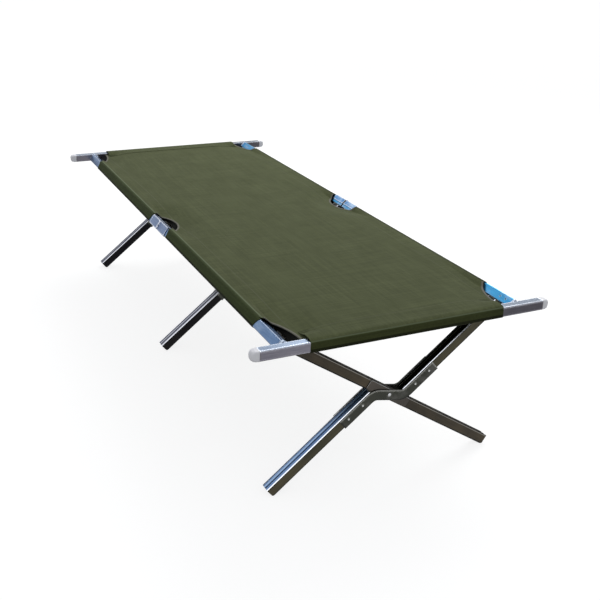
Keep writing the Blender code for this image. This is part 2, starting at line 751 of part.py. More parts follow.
def leaf_outline():
    inside = RAIL / 2.0 + FIT_GAP
    outside = inside + LEAF_THICK
    return [
        (outside - LEAF_CHEEK, -outside),
        (outside - LEAF_BEND, -outside),
        (outside, -outside + LEAF_BEND),
        (outside, outside - LEAF_BEND),
        (outside - LEAF_BEND, outside),
        (outside - LEAF_CHEEK, outside),
        (outside - LEAF_CHEEK, inside),
        (inside, inside),
        (inside, -inside),
        (outside - LEAF_CHEEK, -inside),
    ]


def make_hinge_leaf(name, side, end, middle, hook, empty):
    """Channel-shaped hinge leaf over a rail end, with its knuckles on the fold axis."""
    low, high = along_span(side, end, RAIL_START_X, LEAF_END_X)
    leaf = outline_part(name, [leaf_outline()], low, high, rail_frame(side), aluminium(name), empty)
    turn = frame(fold_point(side), X_AXIS * end, side.out)
    pieces = []
    for low, high in knuckle_spans(middle):
        pieces.append((outline_mesh("knuckle", [knuckle_outline(hook)], low, high), Matrix.Identity(4)))
    knuckles = add_cutter(name + "_knuckles", joined_mesh(name + "_knuckles", pieces), turn)
    boolean(leaf, knuckles, "UNION")
    bore = rod_mesh(name + "_bore", HINGE_PIN_RADIUS + PIN_CLEARANCE, 2.0 * RAIL, SMALL_SEGMENTS)
    boolean(leaf, add_cutter(name + "_bore", bore, turn), "DIFFERENCE")
    return leaf


def knuckle_outline(hook):
    """Knuckle seen along the pin: x points into the leaf. A hook is open on its far side."""
    web_high = -HINGE_AXIS_GAP - JOIN_STEP
    web_low = web_high - LEAF_THICK + 2.0 * JOIN_STEP
    reach = RAIL_START_X + LEAF_BEND
    start = math.asin(web_high / KNUCKLE_RADIUS)
    stop = math.asin(web_low / KNUCKLE_RADIUS)
    points = [Vector((reach, web_low)), Vector((reach, web_high))]
    if hook:
        turns = [start + (math.pi / 2.0 - start) * step / 6.0 for step in range(7)]
        turns += [-math.pi / 2.0 + (stop + math.pi / 2.0) * step / 2.0 for step in range(3)]
    else:
        turns = [start + (stop + 2.0 * math.pi - start) * step / 16.0 for step in range(17)]
    points += [Vector((math.cos(turn), math.sin(turn))) * KNUCKLE_RADIUS for turn in turns]
    return points


def fold_point(side):
    """Point on a fold axis: just outside the rail, clear of the legs."""
    return at_pair(0.0, side.center + side.out * HINGE_AXIS)


def make_hinge_pin(name, side, empty):
    reach = RAIL / 2.0 - KNUCKLE_INSET + FIT_GAP
    half = [
        (0.0, reach + HINGE_HEAD_HEIGHT),
        (HINGE_HEAD_RADIUS * 0.7, reach + HINGE_HEAD_HEIGHT),
        (HINGE_HEAD_RADIUS, reach + HINGE_HEAD_HEIGHT * 0.5),
        (HINGE_HEAD_RADIUS, reach),
        (HINGE_PIN_RADIUS, reach),
    ]
    profile = half + [(radius, -height) for radius, height in reversed(half)]
    matrix = frame(fold_point(side), X_AXIS, side.out)
    return turned_part(name, profile, matrix, aluminium(name), empty, SMALL_SEGMENTS)


def rail_corners(side):
    half = RAIL / 2.0
    points = []
    for first, second in ((-1, -1), (-1, 1), (1, 1), (1, -1)):
        corner = side.center + side.out * half * first + side.up * half * second
        points.append((corner.y, corner.z))
    return points


def grown(points, amount):
    """Convex outline moved outwards by the amount, with clipped corners."""
    hull = convex_hull(points)
    count = len(hull)
    result = []
    for index in range(count):
        before = hull[index] - hull[index - 1]
        after = hull[(index + 1) % count] - hull[index]
        for edge in (before, after):
            normal = Vector((edge.y, -edge.x)).normalized()
            result.append(hull[index] + normal * amount)
    return convex_hull(result)


def sleeve_loops(points, stitch):
    """Outer and inner outline of a stitched sleeve round a tube."""
    inner = convex_hull([tuple(p) for p in grown(points, CLOTH_GAP)] + [(stitch, PANEL_LOW)])
    return [grown([tuple(p) for p in inner], CLOTH), inner]


def make_fabric(name):
    """Fabric bed with sleeves round the rails and end bars and six cut-outs."""
    half_x = HALF - PANEL_END_INSET
    half_y = RAIL_Y + PANEL_OVER_RAIL
    panel = rounded_rect(2.0 * half_x, 2.0 * half_y, PANEL_CORNER, 1)
    low = PANEL_LOW + JOIN_STEP
    high = low + CLOTH + CLOTH_TOP_STEP
    fabric = outline_part(name, [panel], low, high, Matrix.Identity(4), olive_fabric(name), None)
    add_side_sleeves(fabric, name)
    add_end_sleeves(fabric, name)
    cut_fabric_outline(fabric, name)
    cut_leg_slots(fabric, name)
    return fabric


def add_side_sleeves(fabric, name):
    along = frame(Vector((0.0, 0.0, 0.0)), Y_AXIS, Z_AXIS)
    for side in (SIDE_A, SIDE_B):
        stitch = math.copysign(SIDE_STITCH_Y, side.center.y)
        points = rail_corners(side) + [(stitch, PANEL_LOW - CLOTH_GAP)]
        tool = name + "_sleeve_" + side.tag
        reach = HALF - SIDE_SLEEVE_INSET
        data = outline_mesh(tool, sleeve_loops(points, stitch), -reach, reach)
        boolean(fabric, add_cutter(tool, data, along), "UNION")


def add_end_sleeves(fabric, name):
    across = frame(Vector((0.0, 0.0, 0.0)), X_AXIS, Z_AXIS)
    low = BAR_TOP_Z - BAR_HEIGHT
    for half, end in (("near", 1.0), ("far", -1.0)):
        points = [(end * HALF, low), (end * (HALF - BAR_DEPTH), low)]
        points += [(end * HALF, PANEL_LOW - CLOTH_GAP), (end * END_STITCH_X, PANEL_LOW - CLOTH_GAP)]
        tool = name + "_end_sleeve_" + half
        reach = BAR_HALF_LENGTH - END_SLEEVE_INSET
        data = outline_mesh(tool, sleeve_loops(points, end * END_STITCH_X), -reach, reach)
        boolean(fabric, add_cutter(tool, data, across), "UNION")


def cut_fabric_outline(fabric, name):
    """Round cut-outs at the corners and hinges, deeper in the panel than under the rails."""
    seam = PANEL_LOW - SLOT_UNDER_PANEL
    cut_level(fabric, name + "_top_cuts", CUT_REACH, seam, BAR_TOP_Z + CUT_ABOVE_TOP)
    cut_level(fabric, name + "_under_cuts", UNDER_CUT_REACH, BAR_TOP_Z - CUT_BELOW_TOP, seam + JOIN_STEP)


def cut_level(fabric, name, reach, low, high):
    corner_x = HALF - CORNER_CUT_INSET
    middle = LEAF_END_X + MID_CUT_PAST_LEAF
    places = ((-corner_x, CORNER_CUT_LENGTH), (0.0, middle), (corner_x, CORNER_CUT_LENGTH))
    pieces = []
    for hand in (-1.0, 1.0):
        for center_x, length in places:
            outline = ellipse(center_x, hand * (RAIL_Y + CUT_CENTER_OUT), length, reach)
            pieces.append((outline_mesh("cut_out", [outline], low, high), Matrix.Identity(4)))
    boolean(fabric, add_cutter(name, joined_mesh(name, pieces), Matrix.Identity(4)), "DIFFERENCE")


def cut_leg_slots(fabric, name):
    """Slots in the underside of the side sleeves for the leg saddles."""
    pieces = []
    for side in (SIDE_A, SIDE_B):
        hand = math.copysign(1.0, side.center.y)
        low_y, high_y = span(SIDE_STITCH_Y - SLOT_PAST_STITCH, RAIL_Y - SLOT_IN_FROM_RAIL, hand)
        for pair_x in (END_PAIR_X, MID_PAIR_X, -END_PAIR_X):
            place = Matrix.Translation(Vector((pair_x, (low_y + high_y) / 2.0, 0.0)))
            length = SADDLE_BASE_LENGTH + 2.0 * SLOT_PAST_SADDLE
            outline = rounded_rect(length, high_y - low_y, SLOT_CORNER, 3)
            low, high = BAR_TOP_Z - CUT_BELOW_TOP, PANEL_LOW - SLOT_UNDER_PANEL
            pieces.append((outline_mesh("slot", [outline], low, high), place))
    tool = add_cutter(name + "_leg_slots", joined_mesh(name + "_leg_slots", pieces), Matrix.Identity(4))
    boolean(fabric, tool, "DIFFERENCE")


def make_empty(name, place, parent):
    empty = bpy.data.objects.new(name, None)
    empty.empty_display_size = 0.05
    empty.location = place
    PARTS.objects.link(empty)
    JOINT_PLACES[name] = place
    if parent is not None:
        hang_on(empty, parent)
    return empty


def hang_on(item, empty):
    if empty is None:
        return
    item.parent = empty
    item.matrix_parent_inverse = Matrix.Translation(-JOINT_PLACES[empty.name])


def make_half(half, end, base, swing, slide):
    """Rails, end fittings, end bar and caps of one half of the bed."""
    make_rail_half("rail_a_" + half, SIDE_A, end, base)
    make_rail_half("rail_b_" + half, SIDE_B, end, swing)
    make_end_fitting("end_fitting_a_" + half, SIDE_A, end, STUD_REACH, base)
    make_end_fitting("end_fitting_b_" + half, SIDE_B, end, 0.0, swing)
    make_end_bar("end_bar_" + half, end, slide)
    make_end_cap("end_cap_left_" + half, end, -1.0, slide)
    make_end_cap("end_cap_right_" + half, end, 1.0, slide)


def main():
    clear_scene()
    floor_cutter = make_floor_cutter()
    swing_near = make_empty("scissor_axis_near", at_pair(END_PAIR_X, PIVOT), None)
    fold = make_empty("fold_axis", fold_point(SIDE_A), None)
    swing_far = make_empty("scissor_axis_far", at_pair(-END_PAIR_X, PIVOT), fold)
    slide_near = make_empty("bar_slide_near", Vector((BAR_X, 0.0, BAR_Z)), None)
    slide_far = make_empty("bar_slide_far", Vector((-BAR_X, 0.0, BAR_Z)), fold)
    make_leg_pair("near", END_PAIR_X, floor_cutter, None, swing_near)
    make_leg_pair("mid", MID_PAIR_X, floor_cutter, fold, swing_far)
    make_leg_pair("far", -END_PAIR_X, floor_cutter, fold, swing_far)
    make_half("near", 1.0, None, swing_near, slide_near)
    make_half("far", -1.0, fold, swing_far, slide_far)
    make_hinge_leaf("hinge_leaf_a_near", SIDE_A, 1.0, False, False, None)
    make_hinge_leaf("hinge_leaf_a_far", SIDE_A, -1.0, True, False, fold)
    make_hinge_pin("hinge_pin_a", SIDE_A, None)
    # The hinge on side b is the opened pivot: its far knuckle is an open hook
    make_hinge_leaf("hinge_leaf_b_near", SIDE_B, 1.0, False, False, swing_near)
    make_hinge_leaf("hinge_leaf_b_far", SIDE_B, -1.0, True, True, swing_far)
    make_hinge_pin("hinge_pin_b", SIDE_B, swing_near)
    make_fabric("fabric_bed")


PARTS = bpy.data.collections.new("folding_camp_bed")
CUTTERS = bpy.data.collections.new("cutters")
DRAFTS = bpy.data.collections.new("drafts")
for group in (PARTS, CUTTERS, DRAFTS):
    bpy.context.scene.collection.children.link(group)
JOINT_PLACES = {}
main()
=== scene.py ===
import math

import bmesh
import bpy
from mathutils import Matrix, Vector


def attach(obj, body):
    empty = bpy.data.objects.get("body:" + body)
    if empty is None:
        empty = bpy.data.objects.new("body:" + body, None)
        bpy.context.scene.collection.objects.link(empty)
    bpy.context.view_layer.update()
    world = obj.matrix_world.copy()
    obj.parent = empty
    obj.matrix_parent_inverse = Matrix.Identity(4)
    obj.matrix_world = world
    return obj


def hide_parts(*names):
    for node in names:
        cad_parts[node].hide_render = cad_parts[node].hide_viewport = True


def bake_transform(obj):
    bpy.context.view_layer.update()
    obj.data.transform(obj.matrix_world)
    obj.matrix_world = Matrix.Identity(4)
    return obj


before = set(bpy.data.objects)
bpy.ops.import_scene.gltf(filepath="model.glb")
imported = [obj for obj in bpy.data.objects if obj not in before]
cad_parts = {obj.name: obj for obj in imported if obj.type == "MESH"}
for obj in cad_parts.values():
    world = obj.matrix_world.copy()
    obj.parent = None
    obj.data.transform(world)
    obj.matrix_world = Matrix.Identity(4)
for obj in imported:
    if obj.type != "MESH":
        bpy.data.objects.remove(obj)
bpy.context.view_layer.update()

# Sizes of the frame that the fabric and the finishes follow, in metres
HALF_LENGTH = 0.950
BAR_TOP = 0.450
BAR_DEPTH = 0.025
BAR_HEIGHT = 0.026
RAIL = 0.026
LEG_REACH = 0.385
LEG_OFFSET = 0.035
LEG_DEPTH = 0.031
PAIR_X = (0.8554, -0.030, -0.8554)
RIVET_DISTANCES = (0.069, 0.118)
RIVET_RADIUS = 0.0027

# Pivot of a leg pair, as (y, z), and how steep its straight and its two-piece leg stand
PIVOT = Vector((-0.0009511, 0.2215))
ANGLE_A = math.radians(33.4985)
ANGLE_B = math.radians(38.5409)

# Fabric
CLOTH = 0.0009
GAP = 0.0006
HAIR = 0.0001
PANEL_TOP = 0.4546
PANEL_END_X = HALF_LENGTH - BAR_DEPTH - 0.0015
PANEL_STEPS = 110
FLAT_HALF_Y = 0.300
SIDE_STITCH_Y = 0.275
SIDE_SEAM = 0.012
SIDE_CORNER_RADIUS = 0.0035
SIDE_SPACING = 0.010
LINING_Z = PANEL_TOP - 1.5 * CLOTH - 0.0004
SAG_DEPTH = 0.0045
SAG_HALF_X = 0.91

# Where the side sleeves' inner faces lie, which the material gives painted shade
INSIDE_START_Y = SIDE_STITCH_Y - 0.014
INSIDE_END_Y = 0.3178
INSIDE_TOP = PANEL_TOP - 0.0028

# Sleeves round the end bars, with the place where each layer begins to hang and the width of that bend
SLEEVE_END_Y = 0.266
SLEEVE_STEPS = 96
END_STITCH_X = 0.885
END_SEAM = 0.004
END_CORNER_RADIUS = 0.004
END_SPACING = 0.006
OVER_FREE_X = (0.922, 0.036)
UNDER_FREE_X = (0.924, 0.012)

# Cut-outs: ellipses, as the place of the middle along the bed, half the length and the reach inwards
CUT_Y = 0.345
CORNER_CUT = (0.940, 0.160, 0.071)
MID_CUT = (0.0, 0.090, 0.0675)
UNDER_REACH = 0.045
UNDER_TOP = PANEL_TOP - CLOTH - 0.0008
CUT_LOW_Z = 0.38
CUT_HIGH_Z = 0.47
SLOT_HALF_X = 0.018
SLOT_Y = (0.2955, 0.321)
SLOT_Z = (0.39, 0.446)

# How far the free edges of the cut-outs hang, and where the rail's sleeve holds them
CORNER_DROOP = 0.010
MID_DROOP = 0.0130
DROOP_SPREAD = 0.8
HELD_Y = 0.316
HELD_WIDTH = 0.016

# Section of the binding tape, as (outwards, upwards) from the cut edge
HEM_SECTION = (
    (-0.0009, -0.0004),
    (-0.0009, 0.0014),
    (-0.0003, 0.0019),
    (0.0042, 0.0019),
    (0.0048, 0.0014),
    (0.0048, -0.0004),
    (0.0042, -0.0009),
    (-0.0003, -0.0009),
)
HEM_STEPS = 180
HEM_END_Y = 0.3165

# Drawn detail of the cloth, and where the painted highlight and groove lines lie on the legs' faces
WEAVE_PITCH = 0.0016
STITCH_PITCH = 0.0042
STITCH_HALF_WIDTH = 0.00075
LEG_RIM_INSET = 0.0008
LEG_RIM_HALF_WIDTH = 0.0040
GROOVE_SHIFT = 0.0045
GROOVE_HALF_WIDTH = 0.0011

# Studio and camera
AMBIENT = 0.46
FLOOR_GLOW = 0.82
FLOOR_GREY = 0.30
FLOOR_HALF = 30.0
CAMERA_AZIMUTH = math.radians(64.3274)
CAMERA_ELEVATION = math.radians(22.9616)
CAMERA_ROLL = math.radians(1.6303)
CAMERA_PLACE = Vector((2.56455, -1.07245, 1.31749))
FOCAL_PIXELS = 890.434
IMAGE_PIXELS = 600.0
SENSOR_WIDTH = 36.0

# Tones and stretches of grain that several finishes share. The white is a painted highlight, the black
# and the two dark tops painted shade, the pale and dark fold tones a painted highlight and painted
# shade, and the inside tone painted shade
PAINTED_HIGHLIGHT = (0.86, 0.90, 0.98)
PAINTED_SHADE = (0.008, 0.008, 0.009)
PAINTED_SHADE_TOP = (0.030, 0.032, 0.030)
PAINTED_SHADE_LEG_TOP = (0.012, 0.013, 0.016)
RIVET_TONE = (0.45, 0.46, 0.45)
PAINTED_FOLD_HIGHLIGHT = (0.160, 0.190, 0.110)
PAINTED_FOLD_SHADE = (0.045, 0.048, 0.020)
PAINTED_INSIDE_SHADE = (0.004, 0.004, 0.003)
THREAD_TONE = (0.135, 0.145, 0.090)
ALONG_BED = (1.0, 60.0, 60.0)
ALONG_BAR = (60.0, 1.0, 60.0)

# Ramps are read in these units, because they are too coarse for metres
DECIMETRES = 10.0
CENTIMETRES = 100.0


def grey(value):
    return (value, value, value)


def leg_directions(hand):
    """Along a leg pair's leg and across it, as (y, z), for the left (-1) or right (1) side."""
    angle = ANGLE_A if hand < 0.0 else ANGLE_B
    out = Vector((hand * math.cos(angle), math.sin(angle)))
    up = Vector((-hand * math.sin(angle), math.cos(angle)))
    return out, up


def new_material(name):
    material = bpy.data.materials.new(name)
    material.use_nodes = True
    tree = material.node_tree
    shader = tree.nodes["Principled BSDF"]
    return material, tree, shader


def node(tree, kind, **settings):
    item = tree.nodes.new(kind)
    for key, value in settings.items():
        setattr(item, key, value)
    return item


def ramp(tree, source, stops):
    item = node(tree, "ShaderNodeValToRGB")
    elements = item.color_ramp.elements
    for element, (place, color) in zip(elements, stops):
        element.position = place
        element.color = (*color, 1.0)
    tree.links.new(source, item.inputs["Fac"])
    return item.outputs["Color"]


def split_axes(tree, vector):
    item = node(tree, "ShaderNodeSeparateXYZ")
    tree.links.new(vector, item.inputs[0])
    return item.outputs


def coordinates(tree, scale=(1.0, 1.0, 1.0)):
    """Object coordinates, in metres, scaled for each axis."""
    place = node(tree, "ShaderNodeTexCoord")
    mapping = node(tree, "ShaderNodeMapping")
    mapping.inputs["Scale"].default_value = scale
    tree.links.new(place.outputs["Object"], mapping.inputs["Vector"])
    return mapping.outputs["Vector"]


def noise(tree, scale, detail=3.0, stretch=(1.0, 1.0, 1.0), roughness=0.5):
    item = node(tree, "ShaderNodeTexNoise")
    item.inputs["Scale"].default_value = scale
    item.inputs["Detail"].default_value = detail
    item.inputs["Roughness"].default_value = roughness
    tree.links.new(coordinates(tree, stretch), item.inputs["Vector"])
    return item.outputs["Fac"]


def mix_color(tree, factor, first, second, mode="MIX"):
    item = node(tree, "ShaderNodeMix", data_type="RGBA", blend_type=mode)
    if isinstance(factor, float):
        item.inputs[0].default_value = factor
    else:
        tree.links.new(factor, item.inputs[0])
    for index, value in ((6, first), (7, second)):
        if isinstance(value, tuple):
            item.inputs[index].default_value = (*value, 1.0)
        else:
            tree.links.new(value, item.inputs[index])
    return item.outputs[2]


def multiply_color(tree, first, second):
    return mix_color(tree, 1.0, first, second, "MULTIPLY")


def math_node(tree, operation, first, second=None, third=None):
    item = node(tree, "ShaderNodeMath", operation=operation)
    for index, value in enumerate((first, second, third)):
        if value is None:
            continue
        if isinstance(value, (int, float)):
            item.inputs[index].default_value = value
        else:
            tree.links.new(value, item.inputs[index])
    return item.outputs[0]


def bump(tree, height, strength, distance, normal=None):
    item = node(tree, "ShaderNodeBump")
    item.inputs["Strength"].default_value = strength
    item.inputs["Distance"].default_value = distance
    tree.links.new(height, item.inputs["Height"])
    if normal is not None:
        tree.links.new(normal, item.inputs["Normal"])
    return item.outputs["Normal"]


def vary_roughness(tree, shader, source, middle):
    """Roughness that follows the drawn lines, to both sides of its middle value."""
    span = node(tree, "ShaderNodeMapRange")
    span.inputs["To Min"].default_value = middle - 0.07
    span.inputs["To Max"].default_value = middle + 0.09
    tree.links.new(source, span.inputs["Value"])
    tree.links.new(span.outputs["Result"], shader.inputs["Roughness"])


def line_mask(tree, axis_value, place, width):
    """1 within a narrow line at a place along one axis."""
    offset = math_node(tree, "SUBTRACT", axis_value, place)
    size = math_node(tree, "ABSOLUTE", offset)
    return math_node(tree, "LESS_THAN", size, width)


def disc_mask(tree, spot, radius):
    """1 inside a circle about an axis along X, given as (y, z)."""
    shift = node(tree, "ShaderNodeVectorMath", operation="DISTANCE")
    tree.links.new(coordinates(tree, (0.0, 1.0, 1.0)), shift.inputs[0])
    shift.inputs[1].default_value = (0.0, spot[0], spot[1])
    return math_node(tree, "LESS_THAN", shift.outputs["Value"], radius)


def object_normal(tree, radius):
    """How far a face looks up, the same with edges rounded, and how flat the place is."""
    bevel = node(tree, "ShaderNodeBevel", samples=6)
    bevel.inputs["Radius"].default_value = radius
    place = node(tree, "ShaderNodeNewGeometry")
    dot = node(tree, "ShaderNodeVectorMath", operation="DOT_PRODUCT")
    tree.links.new(bevel.outputs["Normal"], dot.inputs[0])
    tree.links.new(place.outputs["Normal"], dot.inputs[1])
    turned = node(tree, "ShaderNodeVectorTransform", vector_type="NORMAL")
    turned.convert_from = "WORLD"
    turned.convert_to = "OBJECT"
    tree.links.new(bevel.outputs["Normal"], turned.inputs[0])
    rounded = split_axes(tree, turned.outputs[0])
    own = node(tree, "ShaderNodeTexCoord")
    flat = split_axes(tree, own.outputs["Normal"])
    return flat["Z"], rounded["Z"], dot.outputs["Value"]


def metal(
    name, side, top, painted_rims, roughness, grain=ALONG_BED, edge=0.0030, rivets=(), wear_and_reflection=None, right=1.0
):
    """Drawn metal: one painted tone on its sides and one on faces that look up, standing for what they
    reflect and the shade on them.

    painted_rims are the painted highlights and shade near an edge: on faces that look up, then high and
    low on the sides.
    wear_and_reflection is the colour of patches at random, wear on the bracket and a paler painted
    reflection of the sky on the rails and hinges; right is painted shade, the brightness at +Y against
    the other side.
    """
    material, tree, shader = new_material(name)
    up, rounded_up, flatness = object_normal(tree, edge)
    stains = ramp(tree, noise(tree, 11.0, 5.0), ((0.36, (0.84, 0.84, 0.86)), (0.62, (1.06, 1.05, 1.04))))
    lines = noise(tree, 18.0, 4.0, grain)
    streaks = ramp(tree, lines, ((0.36, (0.76, 0.78, 0.82)), (0.64, (1.16, 1.15, 1.12))))
    # Sides and faces that look up get painted tones: reflection and shade
    looks_up = ramp(tree, up, ((0.20, grey(0.0)), (0.50, grey(1.0))))
    color = mix_color(tree, looks_up, side, top)
    color = multiply_color(tree, color, stains)
    color = multiply_color(tree, color, streaks)
    # Patches at random: wear, and on the rails and hinges a paler painted reflection
    if wear_and_reflection:
        patch = noise(tree, 26.0, 5.0, (0.5, 1.0, 1.0), 0.6)
        patch = ramp(tree, patch, ((0.50, grey(0.0)), (0.66, grey(0.8))))
        color = mix_color(tree, patch, color, wear_and_reflection)
    # Painted shade: darker towards +Y
    if right != 1.0:
        split = split_axes(tree, coordinates(tree, (1.0, 4.0, 1.0)))
        tone = ramp(tree, split["Y"], ((0.0, grey(1.0)), (0.8, grey(right))))
        color = multiply_color(tree, color, tone)
    # Painted highlights and shade near the edges
    painted_rim = ramp(tree, rounded_up, ((0.05, painted_rims[2]), (0.25, painted_rims[1])))
    painted_rim = mix_color(tree, looks_up, painted_rim, painted_rims[0])
    painted_edge = ramp(tree, flatness, ((0.86, grey(1.0)), (0.97, grey(0.0))))
    color = mix_color(tree, painted_edge, color, painted_rim)
    for spot, radius in rivets:
        color = mix_color(tree, disc_mask(tree, spot, radius), color, RIVET_TONE)
    tree.links.new(color, shader.inputs["Base Color"])
    vary_roughness(tree, shader, lines, roughness)
    shader.inputs["Metallic"].default_value = 1.0
    tree.links.new(bump(tree, lines, 0.35, 0.00003), shader.inputs["Normal"])
    return material


def dot_with(tree, direction, shift):
    """Distance along a direction in the plane of a leg pair, less a shift."""
    place = node(tree, "ShaderNodeTexCoord")
    dot = node(tree, "ShaderNodeVectorMath", operation="DOT_PRODUCT")
    tree.links.new(place.outputs["Object"], dot.inputs[0])
    dot.inputs[1].default_value = (0.0, direction.x, direction.y)
    return math_node(tree, "SUBTRACT", dot.outputs["Value"], shift)


def leg_grain(tree, x, along, across):
    """Fine streaks that run along a leg."""
    grain = node(tree, "ShaderNodeCombineXYZ")
    tree.links.new(math_node(tree, "MULTIPLY", x, 55.0), grain.inputs[0])
    tree.links.new(along, grain.inputs[1])
    tree.links.new(math_node(tree, "MULTIPLY", across, 55.0), grain.inputs[2])
    drawn = node(tree, "ShaderNodeTexNoise")
    drawn.inputs["Scale"].default_value = 18.0
    drawn.inputs["Detail"].default_value = 4.0
    tree.links.new(grain.outputs[0], drawn.inputs["Vector"])
    return drawn.outputs["Fac"]


def leg_top_mask(tree, up):
    """1 on the faces along the top of a leg."""
    own = node(tree, "ShaderNodeTexCoord")
    normal = node(tree, "ShaderNodeVectorMath", operation="DOT_PRODUCT")
    tree.links.new(own.outputs["Normal"], normal.inputs[0])
    normal.inputs[1].default_value = (0.0, up.x, up.y)
    return math_node(tree, "GREATER_THAN", normal.outputs["Value"], 0.55)


def leg_lines(tree, color, x, across, looks_up, lines, groove):
    """Painted highlight and shade lines along a leg's edges, and the painted line of the shallow groove
    along its top.
    """
    above = math_node(tree, "MULTIPLY", across, DECIMETRES)
    below = math_node(tree, "MULTIPLY", across, -DECIMETRES)
    high = ramp(tree, above, ((0.102, grey(0.0)), (0.118, grey(1.0))))
    low = ramp(tree, below, ((0.098, grey(0.0)), (0.118, grey(1.0))))
    color = mix_color(tree, high, color, mix_color(tree, looks_up, lines[1], color))
    color = mix_color(tree, low, color, lines[2])
    for pair_x in PAIR_X:
        from_center = math_node(tree, "ABSOLUTE", math_node(tree, "SUBTRACT", x, pair_x))
        painted_rim = line_mask(tree, from_center, LEG_DEPTH / 2.0 - LEG_RIM_INSET, LEG_RIM_HALF_WIDTH)
        painted_rim = math_node(tree, "MULTIPLY", painted_rim, looks_up)
        color = mix_color(tree, painted_rim, color, lines[0])
        slot = line_mask(tree, x, pair_x - GROOVE_SHIFT, GROOVE_HALF_WIDTH)
        slot = math_node(tree, "MULTIPLY", slot, looks_up)
        color = mix_color(tree, slot, color, groove)
    return color


def leg_metal(name, hand, offset, side, top, lines, groove):
    """Leg tube: one tone on its sides, a painted tone on top for reflection and shade, and painted lines
    along its edges.

    lines are the painted highlights and shade along the top's outer edges, then high and low on the
    sides, and groove is the painted tone of the shallow line along the top: a reflection line, black
    shade on the straight leg.
    """
    material, tree, shader = new_material(name)
    out, up = leg_directions(hand)
    along = dot_with(tree, out, PIVOT.dot(out))
    across = dot_with(tree, up, PIVOT.dot(up) + offset)
    x = split_axes(tree, coordinates(tree))["X"]
    streak = leg_grain(tree, x, along, across)
    looks_up = leg_top_mask(tree, up)
    stains = ramp(tree, noise(tree, 11.0, 5.0), ((0.34, (0.70, 0.72, 0.78)), (0.64, (1.14, 1.10, 1.04))))
    streaks = ramp(tree, streak, ((0.36, (0.80, 0.81, 0.84)), (0.64, (1.14, 1.13, 1.10))))
    # Painted reflection and shade on the tops
    color = mix_color(tree, looks_up, side, top)
    color = multiply_color(tree, color, stains)
    color = multiply_color(tree, color, streaks)
    color = leg_lines(tree, color, x, across, looks_up, lines, groove)
    tree.links.new(color, shader.inputs["Base Color"])
    vary_roughness(tree, shader, streak, 0.30)
    if hand > 0.0:
        shader.inputs["Metallic"].default_value = 1.0
    else:
        bare = math_node(tree, "SUBTRACT", 1.0, looks_up)
        tree.links.new(math_node(tree, "MULTIPLY", bare, 0.35), shader.inputs["Metallic"])
        tree.links.new(math_node(tree, "MULTIPLY", bare, 0.10), shader.inputs["Specular IOR Level"])
    tree.links.new(bump(tree, streak, 0.35, 0.00003), shader.inputs["Normal"])
    return material


def cap_plastic():
    material, tree, shader = new_material("white_cap_plastic")
    blotch = noise(tree, 40.0, 4.0)
    color = ramp(tree, blotch, ((0.3, (0.90, 0.89, 0.94)), (0.7, (0.97, 0.97, 0.99))))
    tree.links.new(color, shader.inputs["Base Color"])
    shader.inputs["Roughness"].default_value = 0.42
    grain = noise(tree, 1400.0, 2.0)
    tree.links.new(bump(tree, grain, 0.25, 0.00005), shader.inputs["Normal"])
    return material


def weave_height(tree, axes):
    """Plain weave: warp and weft that pass over and under each other."""
    threads = 2.0 * math.pi / WEAVE_PITCH
    across = math_node(tree, "SINE", math_node(tree, "MULTIPLY", axes["X"], threads))
    along = math_node(tree, "SINE", math_node(tree, "MULTIPLY", axes["Y"], threads))
    return math_node(tree, "MULTIPLY", across, along)


def woven_tone(tree, weave, slubs, light, dark):
    """The cloth's own colour: patches, uneven yarn and the weave itself."""
    patches = noise(tree, 9.0, 6.0, (1.0, 1.6, 1.0), 0.66)
    color = ramp(tree, patches, ((0.34, dark), (0.66, light)))
    yarn = ramp(tree, slubs, ((0.38, (0.82, 0.82, 0.80)), (0.62, (1.15, 1.15, 1.13))))
    color = multiply_color(tree, color, yarn)
    fine = ramp(tree, weave, ((0.0, grey(0.90)), (1.0, grey(1.07))))
    return multiply_color(tree, color, fine)


def fold_mask(tree, axes, fold):
    """Where the painted fold light is strongest: at a fold's line, which two axis letters with their
    distances give.
    """
    squares = []
    for letter, place in fold:
        gap = math_node(tree, "SUBTRACT", axes[letter], place)
        squares.append(math_node(tree, "POWER", gap, 2.0))
    gap = math_node(tree, "SQRT", math_node(tree, "ADD", *squares))
    gap = math_node(tree, "MULTIPLY", gap, CENTIMETRES)
    return ramp(tree, gap, ((0.12, grey(0.85)), (0.34, grey(0.0))))


def stitch_mask(tree, split, axes, axis, place):
    """A dashed row of thread at a distance from the middle."""
    other = split["Y" if axis == "X" else "X"]
    dash = math_node(tree, "SINE", math_node(tree, "MULTIPLY", other, 2.0 * math.pi / STITCH_PITCH))
    dash = math_node(tree, "GREATER_THAN", dash, -0.55)
    line = line_mask(tree, axes[axis], place, STITCH_HALF_WIDTH)
    return math_node(tree, "MULTIPLY", line, dash)


